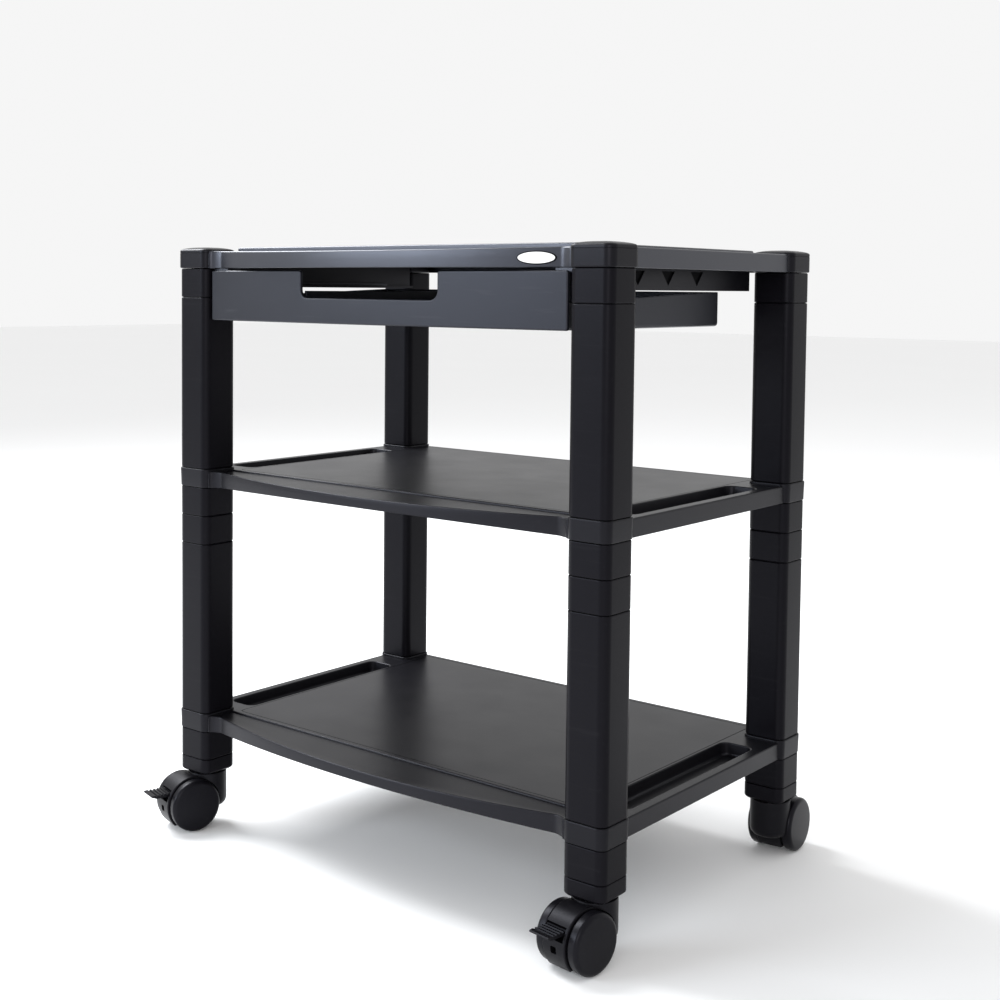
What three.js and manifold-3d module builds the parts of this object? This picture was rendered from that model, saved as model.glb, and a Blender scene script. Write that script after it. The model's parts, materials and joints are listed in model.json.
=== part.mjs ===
// A mobile printer stand: three moulded shelves on four stacked legs, with a drawer and four casters.
// Millimetres, +Z up. The stand stands on z = 0, and its bounding box is centred on the Z axis.

import * as THREE from 'three';
import { mergeVertices } from 'three/addons/utils/BufferGeometryUtils.js';
import Module from 'manifold-3d';

// ---------------------------------------------------------------- driving dimensions

const STAND_W = 504;              // over the outer faces of the legs, left to right
const STAND_D = 336.6;            // over the outer faces of the legs, front to back
const LEG = 40;                   // a leg section is square
const LEG_R = 8;                  // its rounded corners
const LEG_WALL = 3;
const FIT = 0.4;                  // gap all round between a spigot and the socket it plugs into
const GAP = 0.3;                  // gap between two parts that touch
const SPIGOT_WALL = 2.5;
const SPIGOT_H = 12;              // how far a spigot reaches into the next section

const FOOT_Z = 54.2;              // underside of the caster sockets
const SOCKET_H = 15.2;
const SPACER_H = 27.8;
const TUBE_H = 166.8;
const COLLAR_H = 18.2;
const CAP_H = 17.4;
const CAP_DOME = 3;               // height of a cap's dome over its slope,
const DOME_IN = 6;                // the width of that slope,
const DOME_R = 4;                 // the corners of the flat on top,
const DOME_T = 1;                 // and the upright edge round the dome

const COLLAR = 42;                // the shelves' corner collars stand 1 mm proud of the legs
const COLLAR_R = 9;
const NOTCH_X = 7;                // a shelf's outline is cut back at its corners, inside the collars:
const NOTCH_Y = 13;               // this far short of the middle of the leg
const SHOULDER = 3;               // and this far behind the ends of the front rim

const RIM_X = 248.5;              // half the width over the shelves' side rims
const RIM_BACK = 165;             // back rim
const RIM_FRONT = 158;            // front rim where it meets the legs
const RIM_BOW = 25;               // how far the front rim bows forward in the middle
const RIM_HALF = 205;             // half the length of the bowed rim
const RIM_WALL = 3;
const PLATE = 3;                  // thickness of a shelf's plate
const SHELF_DROP = 2.2;           // a shelf's plate lies this far below the tops of its collars
const RIM_DIP = 1.6;              // the front rim's top edge dips this much in the middle
const RIM_RISE = 4.7;             // and its bottom edge rises this much
const PANEL_FRONT = -136;         // straight front edge of the flat panel

const TROUGH_IN = 207.5;          // pen troughs at both sides of the two lower shelves
const TROUGH_OUT = 238.5;
const TROUGH_FRONT = -112;
const TROUGH_BACK = 100;
const TROUGH_DEEP = 12;
const TROUGH_WALL = 2;

const DECK_X = 203;               // raised deck of the top shelf, half its width
const DECK_BACK = 150;
const DECK_RISE = 4.1;
const PLATE_BELOW_CAP = 1;        // the top shelf's plate lies this far below the foot of the domes

const DRAWER_Z0 = 500.8;
const DRAWER_Z1 = 548.3;
const DRAWER_FRONT_X = 208.5;     // half the width of the drawer's front
const DRAWER_FRONT_END = 163.5;   // its face at both ends
const DRAWER_BOW = 8;             // and how far it bows forward in the middle
const DRAWER_FRONT_T = 3.5;
const DRAWER_X = 204;             // half the width over the drawer's sides
const DRAWER_BACK = 83;
const DRAWER_WALL = 2.4;
const DRAWER_SIDE_TOP = 544;
const DRAWER_BACK_TOP = 532;
const PULL_X = 78.5;              // half the width of the cut-out that serves as a pull
const PULL_Z = 523.6;
const PULL_R = 8;
const DIVIDER_X = 84;
const DIVIDER_TOP = 530;
const LAP = 1;                    // how far one wall of the drawer runs into the next

const RAIL_Z = 533;               // underside of the drawer's rails
const RAIL_FOOT = 2.5;
const RAIL_LEDGE = 204.6;         // inner edge of the ledge the drawer's lip rides on
const RAIL_IN = 209;
const RAIL_OUT = 211.6;
const RAIL_FLANGE = 219;
const RAIL_FRONT = -126;
const RAIL_BACK = 126;

const BADGE_W = 37;               // blank oval plate on the top shelf's front rim
const BADGE_H = 11;
const BADGE_T = 0.9;
const BADGE_X = 184;
const BADGE_RISE = 7.7;           // height of its middle over the rim's lower edge

const WHEEL_R = 25;               // 50 mm twin-wheel casters
const HUB_R = 19.2;               // the part of a wheel that runs under the hood
const CASTER_HALF = 22.5;         // half the width over both wheels
const TREAD_IN = 12.6;            // inner face of a wheel's tread
const HUB_IN = 3.6;
const AXLE_R = 3.8;
const BORE_R = 4.2;
const AXLE_HALF = 19;
const TRAIL = 21;                 // from the stem's axis back to the axle
const HOOD_R = 27;
const HOOD_HALF = 11.8;
const HOOD_CAVITY_R = 22.6;
const HOOD_LOW = 6;               // the hood is cut off this high above the floor
const WEB_HALF = 3;
const WHEEL_GAP = 1;              // between a wheel's tread and the hood round it
const SHOULDER_IN = 1.2;          // a wheel's edge towards the hood
const SHOULDER_OUT = 3;           // and its softer edge on the outside: this wide
const SHOULDER_DEEP = 2.4;        // and this deep
const HUB_CAP = 2.5;              // thickness of a wheel over the end of its axle
const NECK_R = 18.8;
const NECK_TOP = 53.2;
const NECK_LOW = 27;
const STEM_R = 5.4;
const STEM_BORE_R = 5.75;
const SOCKET_BORE_R = 6.1;
const STEM_Z0 = 38.4;
const STEM_Z1 = 68.5;

const LEVER_HALF = 10;            // foot lever of the two front casters' brakes
const LEVER_SHIFT = -1.2;         // it sits a little off the middle of the hood
const LEVER_TOP = 39;
const LEVER_T = 3.4;
const LEVER_TIP = 42;             // reach behind the axle
const LEVER_PIVOT_R = 21.3;
const LEVER_PIVOT_DEG = 35;
const LEVER_HUB_R = 1.9;
const LEVER_NOSE = 1.4;           // upright edge at the lever's tip
const LEVER_SLOPE = 5;            // length of the slope under it
const SLOT_LOW = 9;               // the hood's slot for the lever runs from this far below the lever's top
const SLOT_HIGH = 2;              // to this far above it
const SLOT_BEHIND = 1;            // and ends this far in from the lever's hub

// which way each caster has swivelled: the turn of its axle about Z, degrees
const CASTERS = [
  { name: 'front_left', x: -1, y: -1, turn: -16, brake: true },
  { name: 'front_right', x: 1, y: -1, turn: -8, brake: true },
  { name: 'rear_left', x: -1, y: 1, turn: 172, brake: false },
  { name: 'rear_right', x: 1, y: 1, turn: 183, brake: false },
];

// ---------------------------------------------------------------- places worked out from them

const LEG_X = (STAND_W - LEG) / 2;
const LEG_Y = (STAND_D - LEG) / 2;

const SOCKET_TOP = FOOT_Z + SOCKET_H;
const BOTTOM_SHELF_Z = SOCKET_TOP + SPACER_H;
const LOWER_TUBE_Z = BOTTOM_SHELF_Z + COLLAR_H;
const LOWER_SPACER_Z = LOWER_TUBE_Z + TUBE_H;
const MIDDLE_SPACER_Z = LOWER_SPACER_Z + SPACER_H;
const MIDDLE_SHELF_Z = MIDDLE_SPACER_Z + SPACER_H;
const UPPER_TUBE_Z = MIDDLE_SHELF_Z + COLLAR_H;
const TOP_SPACER_Z = UPPER_TUBE_Z + TUBE_H;
const TOP_SHELF_Z = TOP_SPACER_Z + SPACER_H;

const BORE = LEG - 2 * LEG_WALL;
const SPIGOT = BORE - 2 * FIT;
const FAR = 800;                  // reaches past everything, for cutting
const EPS = 0.5;                  // how far a cutter runs past the face it cuts
const BOW_STEPS = 12;             // straight pieces in a bowed front
const POCKET_STEP = 1;            // the hollow's front corners start this far behind its bow
const TRIM_REACH = 2;             // the cut under the front rim stops this far behind the rim's ends

// ---------------------------------------------------------------- solids

const wasm = await Module();
wasm.setup();

function solid(geometry) {
  geometry.deleteAttribute('normal');
  geometry.deleteAttribute('uv');
  const merged = mergeVertices(geometry);
  const vertProperties = Float32Array.from(merged.attributes.position.array);
  const triVerts = Uint32Array.from(merged.index.array);
  return new wasm.Manifold(new wasm.Mesh({ numProp: 3, vertProperties, triVerts }));
}

function geometryOf(body) {
  const mesh = body.getMesh();
  const geometry = new THREE.BufferGeometry();
  geometry.setAttribute('position', new THREE.BufferAttribute(mesh.vertProperties, 3));
  geometry.setIndex(new THREE.BufferAttribute(mesh.triVerts, 1));
  geometry.computeVertexNormals();
  return geometry;
}

function roundSquare(size, radius, x = 0, y = 0) {
  const h = size / 2;
  const c = h - radius;
  const shape = new THREE.Shape();
  shape.absarc(x + c, y + c, radius, 0, Math.PI / 2, false);
  shape.absarc(x - c, y + c, radius, Math.PI / 2, Math.PI, false);
  shape.absarc(x - c, y - c, radius, Math.PI, 1.5 * Math.PI, false);
  shape.absarc(x + c, y - c, radius, 1.5 * Math.PI, 2 * Math.PI, false);
  shape.closePath();
  return shape;
}

function polygon(points) {
  return new THREE.Shape(points.map(([a, b]) => new THREE.Vector2(a, b)));
}

// an outline in X and Y, raised from z0 to z1
function prism(shape, z0, z1, curveSegments = 2) {
  const geometry = new THREE.ExtrudeGeometry(shape, { depth: z1 - z0, bevelEnabled: false, curveSegments });
  geometry.translate(0, 0, z0);
  return solid(geometry);
}

// an outline in X and Z, run from y0 to y1
function prismAlongY(shape, y0, y1, curveSegments = 12) {
  const geometry = new THREE.ExtrudeGeometry(shape, { depth: y1 - y0, bevelEnabled: false, curveSegments });
  geometry.rotateX(Math.PI / 2);
  geometry.translate(0, y1, 0);
  return solid(geometry);
}

// an outline in Y and Z, run from x0 to x1
function prismAlongX(shape, x0, x1, curveSegments = 6) {
  const geometry = new THREE.ExtrudeGeometry(shape, { depth: x1 - x0, bevelEnabled: false, curveSegments });
  const toYZX = new THREE.Matrix4().makeBasis(
    new THREE.Vector3(0, 1, 0),
    new THREE.Vector3(0, 0, 1),
    new THREE.Vector3(1, 0, 0),
  );
  geometry.applyMatrix4(toYZX);
  geometry.translate(x0, 0, 0);
  return solid(geometry);
}

function box(x0, x1, y0, y1, z0, z1) {
  const geometry = new THREE.BoxGeometry(x1 - x0, y1 - y0, z1 - z0);
  geometry.translate((x0 + x1) / 2, (y0 + y1) / 2, (z0 + z1) / 2);
  return solid(geometry);
}

function uprightCylinder(radius, z0, z1, sides) {
  const geometry = new THREE.CylinderGeometry(radius, radius, z1 - z0, sides);
  geometry.rotateX(Math.PI / 2);
  geometry.translate(0, 0, (z0 + z1) / 2);
  return solid(geometry);
}

// a cylinder lying along X, round the caster's axle
function axleCylinder(radius, x0, x1, sides) {
  const geometry = new THREE.CylinderGeometry(radius, radius, x1 - x0, sides);
  geometry.rotateZ(Math.PI / 2);
  geometry.translate((x0 + x1) / 2, -TRAIL, WHEEL_R);
  return solid(geometry);
}

// a span away from the middle, on the right (side 1) or mirrored to the left (side -1), lower end first
function span(side, near, far) {
  return side > 0 ? [near, far] : [-far, -near];
}

// the radius whose regular polygon still clears a circle of the radius given
function clearing(radius, sides) {
  return radius / Math.cos(Math.PI / sides);
}

// radius of an arc from its half chord and its rise
function arcRadius(half, rise) {
  return (half * half + rise * rise) / (2 * rise);
}

// ---------------------------------------------------------------- legs

// a hollow square section from z = 0 to height, with a spigot on top that plugs into the next piece
function legSection(height, spigotHeight) {
  const outer = prism(roundSquare(LEG, LEG_R), 0, height - GAP);
  const bore = prism(roundSquare(BORE, LEG_R - LEG_WALL), -EPS, height - SPIGOT_WALL, 1);
  const tip = height + spigotHeight;
  const neck = prism(roundSquare(SPIGOT, LEG_R - LEG_WALL), height - 2 * SPIGOT_WALL, tip, 1);
  const hollow = SPIGOT - 2 * SPIGOT_WALL;
  const way = prism(roundSquare(hollow, LEG_WALL), -EPS, tip + EPS, 1);
  return geometryOf(outer.subtract(bore).add(neck).subtract(way));
}

// the foot of a leg: a chamfered block bored for a caster's stem
function footSocket() {
  const chamfer = 3;
  const block = prism(roundSquare(LEG, LEG_R), chamfer, SOCKET_H - GAP);
  const taper = new THREE.ExtrudeGeometry(roundSquare(LEG - 2 * chamfer, LEG_R - chamfer), {
    depth: chamfer,
    bevelEnabled: true,
    bevelThickness: chamfer,
    bevelSize: chamfer,
    bevelSegments: 1,
    curveSegments: 2,
  });
  taper.translate(0, 0, chamfer);
  const neck = prism(roundSquare(SPIGOT, LEG_R - LEG_WALL), chamfer, SOCKET_H + SPIGOT_H, 1);
  const hollow = prism(roundSquare(SPIGOT - 2 * SPIGOT_WALL, LEG_WALL), SOCKET_H, FAR, 1);
  const sides = 12;
  const bore = uprightCylinder(clearing(SOCKET_BORE_R, sides), -EPS, FAR, sides);
  return geometryOf(block.add(solid(taper)).add(neck).subtract(hollow).subtract(bore));
}

// ---------------------------------------------------------------- shelves

const BOW_R = arcRadius(RIM_HALF, RIM_BOW);

// points along a bowed front, from left to right: its ends at y = -end, its middle further forward by rise
function bowedFront(half, end, rise, steps) {
  const radius = arcRadius(half, rise);
  const angle = Math.asin(half / radius);
  const points = [];
  for (let i = 0; i <= steps; i += 1) {
    const turn = angle * ((2 * i) / steps - 1);
    points.push([radius * Math.sin(turn), radius - end - rise - radius * Math.cos(turn)]);
  }
  return points;
}

// a shelf's outline without its corners, which the collars fill
function shelfOutline() {
  const cornerX = LEG_X - NOTCH_X;
  const cornerY = LEG_Y - NOTCH_Y;
  const shoulder = -RIM_FRONT + SHOULDER;
  return polygon([
    [-cornerX, shoulder],
    ...bowedFront(RIM_HALF, RIM_FRONT, RIM_BOW, BOW_STEPS),
    [cornerX, shoulder],
    [cornerX, -cornerY],
    [RIM_X, -cornerY],
    [RIM_X, cornerY],
    [cornerX, cornerY],
    [cornerX, RIM_BACK],
    [-cornerX, RIM_BACK],
    [-cornerX, cornerY],
    [-RIM_X, cornerY],
    [-RIM_X, -cornerY],
    [-cornerX, -cornerY],
  ]);
}

// the hollow under a shelf, one wall in from its outline
function pocketOutline() {
  const x = RIM_X - RIM_WALL;
  const front = RIM_FRONT - RIM_WALL;
  return polygon([
    [-x, -front + POCKET_STEP],
    ...bowedFront(RIM_HALF, front, RIM_BOW, BOW_STEPS),
    [x, -front + POCKET_STEP],
    [x, RIM_BACK - RIM_WALL],
    [-x, RIM_BACK - RIM_WALL],
  ]);
}

// a slice bounded by a shallow arc at height z, that trims the front rim's top or bottom edge
function trimmingArc(z, rise, outerZ) {
  const arc = bowedFront(RIM_HALF, 0, Math.abs(rise), BOW_STEPS);
  const points = arc.map(([x, dip]) => [x, z - Math.sign(rise) * dip]);
  return polygon([...points, [RIM_HALF, outerZ], [-RIM_HALF, outerZ]]);
}

function eachLeg(visit) {
  for (const x of [-LEG_X, LEG_X]) {
    for (const y of [-LEG_Y, LEG_Y]) {
      visit(x, y);
    }
  }
}

// the middle and bottom shelves: a plate with skirts, a trough along each side, four open collars
function lowerShelf() {
  const top = COLLAR_H - GAP - SHELF_DROP;
  let shelf = prism(shelfOutline(), 0, top);
  shelf = shelf.subtract(prism(pocketOutline(), -EPS, top - PLATE));
  shelf = shelf.subtract(prismAlongY(trimmingArc(0, RIM_RISE, -FAR), -FAR, -RIM_FRONT + TRIM_REACH));
  shelf = shelf.subtract(prismAlongY(trimmingArc(top, -RIM_DIP, FAR), -FAR, PANEL_FRONT));
  for (const side of [-1, 1]) {
    const [x0, x1] = span(side, TROUGH_IN, TROUGH_OUT);
    const w = TROUGH_WALL;
    const floor = top - TROUGH_DEEP;
    shelf = shelf.add(box(x0 - w, x1 + w, TROUGH_FRONT - w, TROUGH_BACK + w, floor - w, top));
    shelf = shelf.subtract(box(x0, x1, TROUGH_FRONT, TROUGH_BACK, floor, FAR));
  }
  eachLeg((x, y) => {
    shelf = shelf.add(prism(roundSquare(COLLAR, COLLAR_R, x, y), 0, COLLAR_H - GAP));
    shelf = shelf.subtract(prism(roundSquare(BORE, LEG_R - LEG_WALL, x, y), -EPS, FAR, 1));
  });
  return geometryOf(shelf);
}

// the top shelf: a raised flat deck, and four domed caps that close the legs
function topShelf() {
  const top = CAP_H - PLATE_BELOW_CAP;
  const deck = top + DECK_RISE;
  let shelf = prism(shelfOutline(), 0, top);
  shelf = shelf.add(box(-DECK_X, DECK_X, PANEL_FRONT, DECK_BACK, top - EPS, deck));
  shelf = shelf.subtract(prism(pocketOutline(), -EPS, top - PLATE));
  const x = DECK_X - PLATE;
  shelf = shelf.subtract(box(-x, x, PANEL_FRONT + PLATE, DECK_BACK - PLATE, -EPS, deck - PLATE));
  shelf = shelf.subtract(prismAlongY(trimmingArc(top, -RIM_DIP, FAR), -FAR, PANEL_FRONT - EPS));
  eachLeg((x, y) => {
    const dome = new THREE.ExtrudeGeometry(roundSquare(COLLAR - 2 * DOME_IN, DOME_R, x, y), {
      depth: DOME_T,
      bevelEnabled: true,
      bevelThickness: CAP_DOME,
      bevelSize: DOME_IN,
      bevelSegments: 1,
      curveSegments: 2,
    });
    dome.translate(0, 0, CAP_H - DOME_T);
    shelf = shelf.add(prism(roundSquare(COLLAR, COLLAR_R, x, y), 0, CAP_H));
    shelf = shelf.add(solid(dome));
    shelf = shelf.subtract(prism(roundSquare(BORE, LEG_R - LEG_WALL, x, y), -EPS, SPIGOT_H + LAP, 1));
  });
  return geometryOf(shelf);
}

// ---------------------------------------------------------------- drawer

function drawerFrontOutline() {
  return polygon([
    ...bowedFront(DRAWER_FRONT_X, DRAWER_FRONT_END, DRAWER_BOW, BOW_STEPS),
    [DRAWER_FRONT_X, -DRAWER_FRONT_END + DRAWER_FRONT_T],
    [-DRAWER_FRONT_X, -DRAWER_FRONT_END + DRAWER_FRONT_T],
  ]);
}

function pullOutline() {
  const low = PULL_Z + PULL_R;
  const shape = new THREE.Shape();
  shape.moveTo(-PULL_X, DRAWER_Z1 + EPS);
  shape.lineTo(-PULL_X, low);
  shape.absarc(-PULL_X + PULL_R, low, PULL_R, Math.PI, 1.5 * Math.PI, false);
  shape.absarc(PULL_X - PULL_R, low, PULL_R, 1.5 * Math.PI, 2 * Math.PI, false);
  shape.lineTo(PULL_X, DRAWER_Z1 + EPS);
  shape.closePath();
  return shape;
}

// an open tray with a bowed front, a lip along each side and two low dividers
function drawer() {
  const w = DRAWER_WALL;
  const front = -DRAWER_FRONT_END + LAP;
  const inside = -DRAWER_FRONT_END + DRAWER_FRONT_T;
  const lipZ = RAIL_Z + RAIL_FOOT + GAP;
  let body = box(-DRAWER_X, DRAWER_X, front, DRAWER_BACK, DRAWER_Z0, DRAWER_SIDE_TOP);
  for (const side of [-1, 1]) {
    const [x0, x1] = span(side, DRAWER_X - EPS, RAIL_IN - 2 * GAP);
    body = body.add(box(x0, x1, front, DRAWER_BACK, lipZ, lipZ + w));
  }
  body = body.add(prism(drawerFrontOutline(), DRAWER_Z0, DRAWER_Z1));
  body = body.subtract(box(-DRAWER_X + w, DRAWER_X - w, inside, DRAWER_BACK - w, DRAWER_Z0 + w, FAR));
  for (const side of [-1, 1]) {
    const x = side * DIVIDER_X;
    const [y0, y1] = [inside - LAP, DRAWER_BACK - w + LAP];
    body = body.add(box(x - w / 2, x + w / 2, y0, y1, DRAWER_Z0 + LAP, DIVIDER_TOP));
  }
  body = body.subtract(box(-DRAWER_X + w, DRAWER_X - w, 0, FAR, DRAWER_BACK_TOP, FAR));
  body = body.subtract(prismAlongY(pullOutline(), -FAR, inside + EPS, 4));
  return geometryOf(body);
}

// a hanging rail: a flange under the top shelf, a web, and a ledge for the drawer's lip
function drawerRail(side) {
  const underShelf = TOP_SHELF_Z + CAP_H - PLATE_BELOW_CAP - PLATE - GAP;
  const profile = [
    [RAIL_LEDGE, RAIL_Z],
    [RAIL_OUT, RAIL_Z],
    [RAIL_OUT, underShelf - RAIL_FOOT],
    [RAIL_FLANGE, underShelf - RAIL_FOOT],
    [RAIL_FLANGE, underShelf],
    [RAIL_IN, underShelf],
    [RAIL_IN, RAIL_Z + RAIL_FOOT],
    [RAIL_LEDGE, RAIL_Z + RAIL_FOOT],
  ];
  const points = side > 0 ? profile : profile.map(([x, z]) => [-x, z]).reverse();
  return geometryOf(prismAlongY(polygon(points), RAIL_FRONT, RAIL_BACK));
}

function badgePlate() {
  const shape = new THREE.Shape();
  shape.absellipse(0, 0, BADGE_W / 2, BADGE_H / 2, 0, 2 * Math.PI, false);
  return geometryOf(prismAlongY(shape, -BADGE_T, 0, 12));
}

// ---------------------------------------------------------------- casters

// the hood's own frame: the stem stands on the Z axis, the axle lies along X behind it, at -Y
function casterHood(brake) {
  const sides = 24;
  let hood = axleCylinder(HOOD_R, -HOOD_HALF, HOOD_HALF, sides);
  hood = hood.add(uprightCylinder(NECK_R, NECK_LOW, NECK_TOP, sides));
  for (const side of [-1, 1]) {
    hood = hood.subtract(axleCylinder(HOOD_CAVITY_R, ...span(side, WEB_HALF, HOOD_HALF + EPS), sides));
    hood = hood.subtract(axleCylinder(WHEEL_R + WHEEL_GAP, ...span(side, HOOD_HALF, CASTER_HALF), sides));
  }
  hood = hood.subtract(box(-FAR, FAR, -FAR, FAR, -FAR, HOOD_LOW));
  hood = hood.subtract(box(-FAR, FAR, -FAR, FAR, NECK_TOP, FAR));
  hood = hood.subtract(axleCylinder(clearing(BORE_R, 16), -FAR, FAR, 16));
  const boreSides = 12;
  hood = hood.subtract(uprightCylinder(clearing(STEM_BORE_R, boreSides), STEM_Z0 - GAP, FAR, boreSides));
  if (brake) {
    const half = LEVER_HALF + 2 * GAP;
    const slotY = -TRAIL - LEVER_PIVOT_R * Math.cos(THREE.MathUtils.degToRad(LEVER_PIVOT_DEG));
    const [x0, x1] = [LEVER_SHIFT - half, LEVER_SHIFT + half];
    const [z0, z1] = [LEVER_TOP - SLOT_LOW, LEVER_TOP + SLOT_HIGH];
    hood = hood.subtract(box(x0, x1, -FAR, slotY + LEVER_HUB_R + SLOT_BEHIND, z0, z1));
  }
  return geometryOf(hood);
}

function casterStem() {
  return geometryOf(uprightCylinder(STEM_R, STEM_Z0, STEM_Z1, 12));
}

function casterAxle() {
  return geometryOf(axleCylinder(AXLE_R, -AXLE_HALF, AXLE_HALF, 16));
}

// a wheel turned about X, from the middle of the caster outwards: hub, then tread with soft shoulders
function casterWheel() {
  const sides = 20;
  const bore = clearing(BORE_R, sides);
  const boreEnd = CASTER_HALF - HUB_CAP;
  const profile = [
    [0, boreEnd],
    [bore, boreEnd],
    [bore, HUB_IN],
    [HUB_R, HUB_IN],
    [HUB_R, TREAD_IN],
    [WHEEL_R - SHOULDER_IN, TREAD_IN],
    [WHEEL_R, TREAD_IN + SHOULDER_IN],
    [WHEEL_R, CASTER_HALF - SHOULDER_OUT],
    [WHEEL_R - SHOULDER_DEEP, CASTER_HALF],
    [0, CASTER_HALF],
    [0, boreEnd],
  ];
  const points = profile.map(([radius, along]) => new THREE.Vector2(radius, along));
  const geometry = new THREE.LatheGeometry(points, sides);
  geometry.rotateZ(-Math.PI / 2);
  return geometry;
}

// a foot lever about its own pivot at the origin, reaching towards -Y
function brakeLever() {
  const pivotY = LEVER_PIVOT_R * Math.cos(THREE.MathUtils.degToRad(LEVER_PIVOT_DEG));
  const pivotZ = WHEEL_R + LEVER_PIVOT_R * Math.sin(THREE.MathUtils.degToRad(LEVER_PIVOT_DEG));
  const top = LEVER_TOP - pivotZ;
  const tip = -(LEVER_TIP - pivotY);
  const low = top - LEVER_T;
  const side = polygon([[0, low], [0, top], [tip, top], [tip, top - LEVER_NOSE], [tip + LEVER_SLOPE, low]]);
  const plate = prismAlongX(side, -LEVER_HALF, LEVER_HALF);
  const hub = new THREE.CylinderGeometry(LEVER_HUB_R, LEVER_HUB_R, 2 * LEVER_HALF, 12);
  hub.rotateZ(Math.PI / 2);
  return { geometry: geometryOf(plate.add(solid(hub))), pivotY: -TRAIL - pivotY, pivotZ };
}

// ---------------------------------------------------------------- materials

function plastic(name, color, roughness) {
  return new THREE.MeshStandardMaterial({ name, color, roughness, metalness: 0 });
}

const frameBlack = () => plastic('frame_black', 0x2f2f34, 0.5);
const shelfBlack = () => plastic('shelf_black', 0x35353a, 0.52);
const drawerBlack = () => plastic('drawer_black', 0x38383d, 0.45);
const casterBlack = () => plastic('caster_black', 0x2c2c30, 0.42);
const wheelBlack = () => plastic('wheel_black', 0x242428, 0.32);
const badgeWhite = () => plastic('badge_white', 0xe8e8e6, 0.35);

function steel() {
  return new THREE.MeshStandardMaterial({ name: 'steel', color: 0xb8babd, roughness: 0.35, metalness: 1 });
}

// ---------------------------------------------------------------- the assembly

const stand = new THREE.Group();

function place(parent, name, geometry, material, x, y, z) {
  const mesh = new THREE.Mesh(geometry, material);
  mesh.name = name;
  mesh.position.set(x, y, z);
  parent.add(mesh);
  return mesh;
}

const LEG_NAMES = [
  { name: 'front_left', x: -LEG_X, y: -LEG_Y },
  { name: 'front_right', x: LEG_X, y: -LEG_Y },
  { name: 'rear_left', x: -LEG_X, y: LEG_Y },
  { name: 'rear_right', x: LEG_X, y: LEG_Y },
];

const throughCollar = COLLAR_H + SPIGOT_H;
const tube = legSection(TUBE_H, SPIGOT_H);
const spacer = legSection(SPACER_H, SPIGOT_H);
const longSpacer = legSection(SPACER_H, throughCollar);
const socket = footSocket();

for (const { name, x, y } of LEG_NAMES) {
  place(stand, `foot_socket_${name}`, socket, frameBlack(), x, y, FOOT_Z);
  place(stand, `bottom_spacer_${name}`, longSpacer, frameBlack(), x, y, SOCKET_TOP);
  place(stand, `lower_tube_${name}`, tube, frameBlack(), x, y, LOWER_TUBE_Z);
  place(stand, `lower_spacer_${name}`, spacer, frameBlack(), x, y, LOWER_SPACER_Z);
  place(stand, `middle_spacer_${name}`, longSpacer, frameBlack(), x, y, MIDDLE_SPACER_Z);
  place(stand, `upper_tube_${name}`, tube, frameBlack(), x, y, UPPER_TUBE_Z);
  place(stand, `top_spacer_${name}`, spacer, frameBlack(), x, y, TOP_SPACER_Z);
}

const shelf = lowerShelf();
place(stand, 'bottom_shelf', shelf, shelfBlack(), 0, 0, BOTTOM_SHELF_Z);
place(stand, 'middle_shelf', shelf, shelfBlack(), 0, 0, MIDDLE_SHELF_Z);
place(stand, 'top_shelf', topShelf(), shelfBlack(), 0, 0, TOP_SHELF_Z);

place(stand, 'drawer', drawer(), drawerBlack(), 0, 0, 0);
place(stand, 'drawer_rail_left', drawerRail(-1), shelfBlack(), 0, 0, 0);
place(stand, 'drawer_rail_right', drawerRail(1), shelfBlack(), 0, 0, 0);

const badgeTurn = Math.asin(BADGE_X / BOW_R);
const badgeY = -RIM_FRONT - RIM_BOW + BOW_R - (BOW_R + GAP) * Math.cos(badgeTurn);
const badgeZ = TOP_SHELF_Z + BADGE_RISE;
const badge = place(stand, 'badge_plate', badgePlate(), badgeWhite(), BADGE_X, badgeY, badgeZ);
badge.rotation.z = badgeTurn;

const wheel = casterWheel();
const axle = casterAxle();
const stem = casterStem();
const lever = brakeLever();

for (const { name, x, y, turn, brake } of CASTERS) {
  const caster = new THREE.Group();
  caster.position.set(x * LEG_X, y * LEG_Y, 0);
  caster.rotation.z = THREE.MathUtils.degToRad(turn);
  stand.add(caster);
  place(caster, `caster_hood_${name}`, casterHood(brake), casterBlack(), 0, 0, 0);
  place(caster, `caster_stem_${name}`, stem, steel(), 0, 0, 0);
  place(caster, `caster_axle_${name}`, axle, steel(), 0, 0, 0);
  place(caster, `wheel_a_${name}`, wheel, wheelBlack(), 0, -TRAIL, WHEEL_R);
  const other = place(caster, `wheel_b_${name}`, wheel, wheelBlack(), 0, -TRAIL, WHEEL_R);
  other.rotation.z = Math.PI;
  if (brake) {
    const { geometry, pivotY, pivotZ } = lever;
    place(caster, `brake_lever_${name}`, geometry, casterBlack(), LEVER_SHIFT, pivotY, pivotZ);
  }
}

// the casters reach out unevenly, so the stand is moved until its box is centred on the Z axis
const reach = new THREE.Box3().setFromObject(stand, true);
const middle = reach.getCenter(new THREE.Vector3());
stand.position.set(-middle.x, -middle.y, 0);

export default stand;
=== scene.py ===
import json
import math

import bmesh
import bpy
from mathutils import Matrix, Vector


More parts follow.
